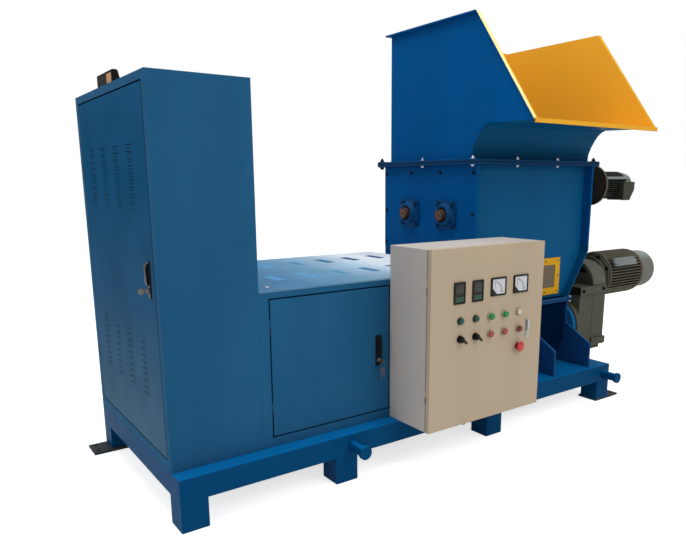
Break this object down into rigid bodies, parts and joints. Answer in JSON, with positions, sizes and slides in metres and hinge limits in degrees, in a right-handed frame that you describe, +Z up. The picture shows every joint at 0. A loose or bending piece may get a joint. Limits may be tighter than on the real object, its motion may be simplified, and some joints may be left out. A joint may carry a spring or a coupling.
{
  "type": "foam hot melting machine",
  "caption": "Foam scrap melting machine: open hopper over a twin-shaft crusher and a heated feed screw, with cabinets and a control box on a steel frame.",
  "frame": {"origin": "middle of the front left leg's foot, on the floor", "axes": "+X along the machine from the tall cabinet to the drive, +Y away from the operator, +Z up"},
  "size_m": [3.457, 1.4003, 2.1],
  "materials": {
    "blue_paint": "semi-gloss",
    "deep_blue_paint": "semi-gloss",
    "yellow_paint": "semi-gloss",
    "beige_paint": "textured",
    "olive_paint": "satin",
    "grey_paint": "satin",
    "bare_steel": "worn",
    "bright_steel": "satin",
    "black_plastic": "satin",
    "green_lens": "gloss",
    "red_plastic": "gloss",
    "window_glass": "dusty"
  },
  "bodies": {
    "machine": {"back_rail": "deep_blue_paint", "barrel": "bare_steel", "bell_flange": "deep_blue_paint", "control_box_shell": "beige_paint", "cross_members": "deep_blue_paint", "crusher_back_plate": "deep_blue_paint", "crusher_flange": "deep_blue_paint", "crusher_front_plate": "deep_blue_paint", "crusher_gearbox": "grey_paint", "crusher_left_plate": "deep_blue_paint", "crusher_motor": "grey_paint", "crusher_right_plate": "deep_blue_paint", "deck_plate": "deep_blue_paint", "door_hinges": "blue_paint", "drive_guard": "deep_blue_paint", "feed_housing": "deep_blue_paint", "foot_plates": "bare_steel", "front_rail": "deep_blue_paint", "gear_reducer": "olive_paint", "hopper_back_wall": "deep_blue_paint", "hopper_chute": "deep_blue_paint", "hopper_flange": "deep_blue_paint", "hopper_left_wall": "deep_blue_paint", "hopper_right_wall": "yellow_paint", "inner_rail": "deep_blue_paint", "legs": "deep_blue_paint", "lifting_pins": "deep_blue_paint", "low_cabinet_shell": "blue_paint", "low_cabinet_top": "blue_paint", "main_motor": "olive_paint", "mounting_plate": "bare_steel", "roof_box": "black_plastic", "shaft_bearings": "deep_blue_paint", "silo_funnel": "deep_blue_paint", "small_terminal_box": "grey_paint", "support_plates": "deep_blue_paint", "tall_cabinet_shell": "blue_paint", "terminal_box": "grey_paint", "throat_flange": "deep_blue_paint", "uprights": "deep_blue_paint", "window_frame": "yellow_paint", "window_glass": "window_glass"},
    "tall_door": {"tall_cabinet_door": "blue_paint", "tall_door_handle": "black_plastic"},
    "low_door": {"low_cabinet_door": "blue_paint", "low_door_handle": "black_plastic"},
    "control_door": {"control_box_door": "beige_paint", "control_door_handle": "bright_steel", "temperature_controllers": "black_plastic", "panel_meters": "black_plastic", "indicator_lamps": "green_lens", "push_buttons": "green_lens", "switch_bases": "bright_steel"},
    "left_selector": {"selector_left": "black_plastic"},
    "right_selector": {"selector_right": "black_plastic"},
    "stop_head": {"stop_button": "red_plastic"},
    "near_rotor": {"near_shaft": "bare_steel"},
    "far_rotor": {"far_shaft": "bare_steel"}
  },
  "joints": [
    {"name": "tall_door_hinge", "type": "hinge", "parent": "machine", "child": "tall_door", "pos_m": [-0.054, 0.973, 0.9], "axis": [0, 0, -1], "range_deg": [0, 110]},
    {"name": "low_door_hinge", "type": "hinge", "parent": "machine", "child": "low_door", "pos_m": [0.377, 0.022, 0.55], "axis": [0, 0, -1], "range_deg": [0, 110]},
    {"name": "control_door_hinge", "type": "hinge", "parent": "machine", "child": "control_door", "pos_m": [0.982, -0.229, 0.615], "axis": [0, 0, -1], "range_deg": [0, 110]},
    {"name": "left_selector_turn", "type": "hinge", "parent": "control_door", "child": "left_selector", "pos_m": [1.152, -0.254, 0.615], "axis": [0, 1, 0], "range_deg": [-90, 0]},
    {"name": "right_selector_turn", "type": "hinge", "parent": "control_door", "child": "right_selector", "pos_m": [1.245, -0.254, 0.615], "axis": [0, 1, 0], "range_deg": [-90, 0]},
    {"name": "stop_button_push", "type": "slide", "parent": "control_door", "child": "stop_head", "axis": [0, 1, 0], "range_m": [0, 0.006]},
    {"name": "near_rotor_spin", "type": "hinge", "parent": "machine", "child": "near_rotor", "pos_m": [2.045, 0.363, 1.114], "axis": [1, 0, 0], "continuous": true},
    {"name": "far_rotor_spin", "type": "hinge", "parent": "machine", "child": "far_rotor", "pos_m": [2.045, 0.665, 1.114], "axis": [1, 0, 0], "continuous": true}
  ],
  "couplings": [
    {"joint": "far_rotor_spin", "follows": "near_rotor_spin", "ratio": -1}
  ]
}
